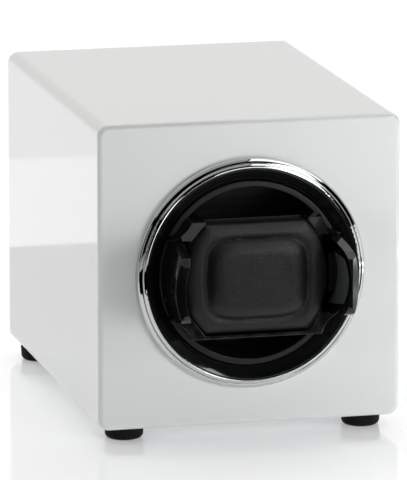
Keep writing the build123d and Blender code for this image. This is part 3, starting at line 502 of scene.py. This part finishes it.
def panel(name, corners, mat):
    """One flat stage surface."""
    mesh = bpy.data.meshes.new(name)
    mesh.from_pydata(corners, [], [tuple(range(len(corners)))])
    mesh.materials.append(mat)
    obj = bpy.data.objects.new(name, mesh)
    scene.collection.objects.link(obj)
    return obj


def glow(name, colour, strength):
    """A surface that shines evenly."""
    mat = bpy.data.materials.new(name)
    mat.use_nodes = True
    shader = mat.node_tree.nodes["Principled BSDF"]
    shader.inputs["Base Color"].default_value = (0.0, 0.0, 0.0, 1.0)
    shader.inputs["Specular IOR Level"].default_value = 0.0
    shader.inputs["Emission Color"].default_value = (*colour, 1.0)
    shader.inputs["Emission Strength"].default_value = strength
    return mat


def card(name, corners, mat):
    """A studio card that only polished surfaces see."""
    obj = panel(name, corners, mat)
    obj.visible_camera = False
    obj.visible_diffuse = False
    obj.visible_shadow = False
    obj.visible_transmission = False
    return obj


floor_size = 8.0
floor_mat, _, floor_shader, _ = new_material("studio_floor")
floor_shader.inputs["Base Color"].default_value = (0.90, 0.90, 0.91, 1.0)
floor_shader.inputs["Roughness"].default_value = 0.06
floor_shader.inputs["Emission Color"].default_value = (0.98, 0.98, 1.0, 1.0)
floor_shader.inputs["Emission Strength"].default_value = 0.24
panel("floor", flat(-floor_size, -floor_size, floor_size, floor_size, 0), floor_mat)

# The surroundings are bright above and behind, and dark in front, where the camera stands. Polished
# surfaces don't see them: what those mirror is set by the lamps and cards below.
world = bpy.data.worlds.new("studio")
scene.world = world
world.use_nodes = True
world.cycles_visibility.glossy = False
world_tree = world.node_tree
surroundings = world_tree.nodes["Background"]
direction = world_tree.nodes.new("ShaderNodeTexCoord")
lift = world_tree.nodes.new("ShaderNodeVectorMath")
lift.operation = "DOT_PRODUCT"
lift.inputs[1].default_value = (-0.28, 0.70, 0.66)
world_tree.links.new(direction.outputs["Generated"], lift.inputs[0])
ramp = world_tree.nodes.new("ShaderNodeMapRange")
ramp.interpolation_type = "SMOOTHSTEP"
ramp.inputs["From Min"].default_value = 0.10
ramp.inputs["From Max"].default_value = 0.72
ramp.inputs["To Min"].default_value = 0.05
ramp.inputs["To Max"].default_value = 1.10
world_tree.links.new(lift.outputs["Value"], ramp.inputs["Value"])
world_tree.links.new(ramp.outputs["Result"], surroundings.inputs["Strength"])
surroundings.inputs["Color"].default_value = (1.0, 0.995, 0.975, 1.0)


# ---------------------------------------------------------------- lamps
# Their places and powers, and those of the cards below, were fitted to one photo from one camera.
# From other angles the edges of their reflections show on the floor and on the box's top.
def softbox(name, place, target, width, height, power, mirrored=True):
    """A rectangular lamp that faces its target."""
    data = bpy.data.lights.new(name, "AREA")
    data.shape = "RECTANGLE"
    data.size = width
    data.size_y = height
    data.energy = power
    obj = bpy.data.objects.new(name, data)
    obj.location = place
    obj.rotation_euler = (Vector(target) - Vector(place)).to_track_quat("-Z", "Y").to_euler()
    obj.visible_glossy = mirrored
    scene.collection.objects.link(obj)
    return obj


def overhead(name, x, behind, height, width, length, power):
    """A lamp that hangs level and shines straight down."""
    place = (x, front_y + behind, height)
    return softbox(name, place, (*place[:2], 0.0), width, length, power)


side_x = 0.25
side_y = front_y - 0.03
side_width = 0.20


def beside(name, x, z, height, power):
    """A lamp to the right of the grips that shines to the left."""
    return softbox(name, (x, side_y, z), (0.0, side_y, z), side_width, height, power)


middle = Vector((0, front_y, axis_z))
before = front_y - 0.85
ceiling = 0.45
horizon_z = 0.62
stripe_x = side_x - 0.001
key_place = (0.26, front_y - 0.30, axis_z)
softbox("key_right", key_place, (0.03, front_y, axis_z - 0.02), 0.16, 0.22, 0.82, mirrored=False)
softbox("front_window", (0.25, before, axis_z + 0.24), middle, 0.45, 0.28, 1.0)
softbox("front_strip", (-0.24, before, axis_z + 0.10), middle, 0.14, 0.34, 0.35)
only_mirrored = [
    softbox("upper_right", (0.35, front_y - 0.45, axis_z + 0.30), middle, 0.25, 0.25, 1.4),
    overhead("overhead_right", 0.33, 0.10, ceiling, 0.50, 0.60, 1.6),
    overhead("edge_strip", 0.05, 0.22, ceiling + 0.001, 0.90, 0.24, 1.9),
    overhead("overhead_left", -0.30, 0.10, ceiling, 0.74, 0.60, 0.55),
    softbox("horizon", (0.3, 1.6, horizon_z), (0.3, 0.0, horizon_z), 3.6, 1.24, 16.0),
    beside("right_card", side_x, 0.055, 0.11, 0.075),
    beside("right_stripe", stripe_x, 0.0318, 0.002, 0.010),
    beside("right_low_stripe", stripe_x, 0.0168, 0.0043, 0.004),
]
for lamp in only_mirrored:
    lamp.visible_diffuse = False

# ---------------------------------------------------------------- cards seen only in reflections
# A low black wall bent round the front, a black sheet on the floor before it, a black wall just outside
# the right-hand lamps, and a grey wall to the left.
flag_mat = glow("flag_black", (0.0, 0.0, 0.0), 0.0)
flag_distance = 0.21
flag_height = 0.049
flag_angles = [math.radians(a) for a in range(-165, -14, 10)]
flag_feet = [(flag_distance * math.cos(a), front_y + flag_distance * math.sin(a)) for a in flag_angles]
for index, (first, second) in enumerate(zip(flag_feet, flag_feet[1:])):
    card(f"flag_{index}", upright(first, second, flag_height), flag_mat)
above_floor = 0.0004
card("flag_before", flat(-0.25, front_y - 0.22, 0.12, front_y - 0.14, above_floor), flag_mat)
card("flag_right", upright((0.252, front_y - 0.13), (0.252, front_y + 0.07), 0.11), flag_mat)
card_left_feet = ((-0.30, front_y - 0.12), (-0.30, front_y - 0.03))
card("card_left", upright(*card_left_feet, 0.2), glow("card_grey", (0.95, 1.0, 1.0), 0.30))

# Bright stretches of the floor behind, which the left side mirrors: lamps that lie there and shine up.
for name, near, far, power in (("floor_band", 0.31, 0.515, 0.30), ("floor_far", 0.515, 1.2, 0.55)):
    place = (-0.2, (near + far) / 2, above_floor)
    lamp = softbox(name, place, (*place[:2], 1.0), 0.8, far - near, power)
    lamp.rotation_euler = (math.pi, 0.0, 0.0)
    lamp.visible_camera = False
    lamp.visible_diffuse = False

# ---------------------------------------------------------------- camera
# A long lens, above and to the left of the box's axis.
camera_data = bpy.data.cameras.new("camera")
camera_data.sensor_width = 36.0
camera_data.lens = 443.5
camera_data.clip_end = 100.0
camera = bpy.data.objects.new("camera", camera_data)
scene.collection.objects.link(camera)
scene.camera = camera
yaw = math.radians(13.773)
pitch = math.radians(11.953)
camera_place = Vector((-0.5715, front_y - 2.2527, body_low.z + 0.5678))
turn = Matrix.Rotation(-yaw, 4, "Z") @ Matrix.Rotation(math.pi / 2 - pitch, 4, "X")
camera.matrix_world = Matrix.Translation(camera_place) @ turn

scene.view_settings.view_transform = "Standard"
scene.view_settings.look = "None"
